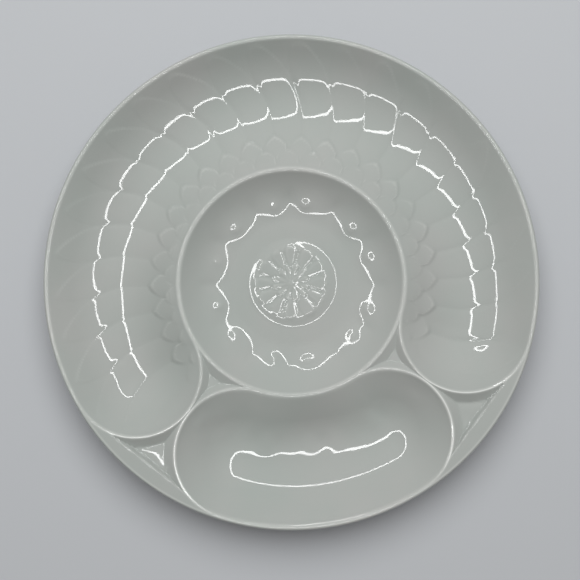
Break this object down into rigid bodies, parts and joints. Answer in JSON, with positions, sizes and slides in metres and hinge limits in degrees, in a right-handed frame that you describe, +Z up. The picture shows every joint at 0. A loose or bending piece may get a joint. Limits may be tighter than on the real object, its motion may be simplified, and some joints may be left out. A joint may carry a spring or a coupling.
{
  "type": "artichoke plate",
  "caption": "Round glazed porcelain artichoke plate: raised-ring centre bowl, C-shaped trough for leaves with leaf relief, dip well in the gap, foot ring below.",
  "frame": {"origin": "centre of the plate, on the plane its foot ring stands on", "axes": "+Z up; the dip well lies towards -Y and the closed side of the C-shaped trough towards +Y"},
  "size_m": [0.26, 0.26, 0.027],
  "materials": {
    "glaze": "glossy"
  },
  "bodies": {
    "root": {"plate_body": "glaze"}
  },
  "joints": []
}
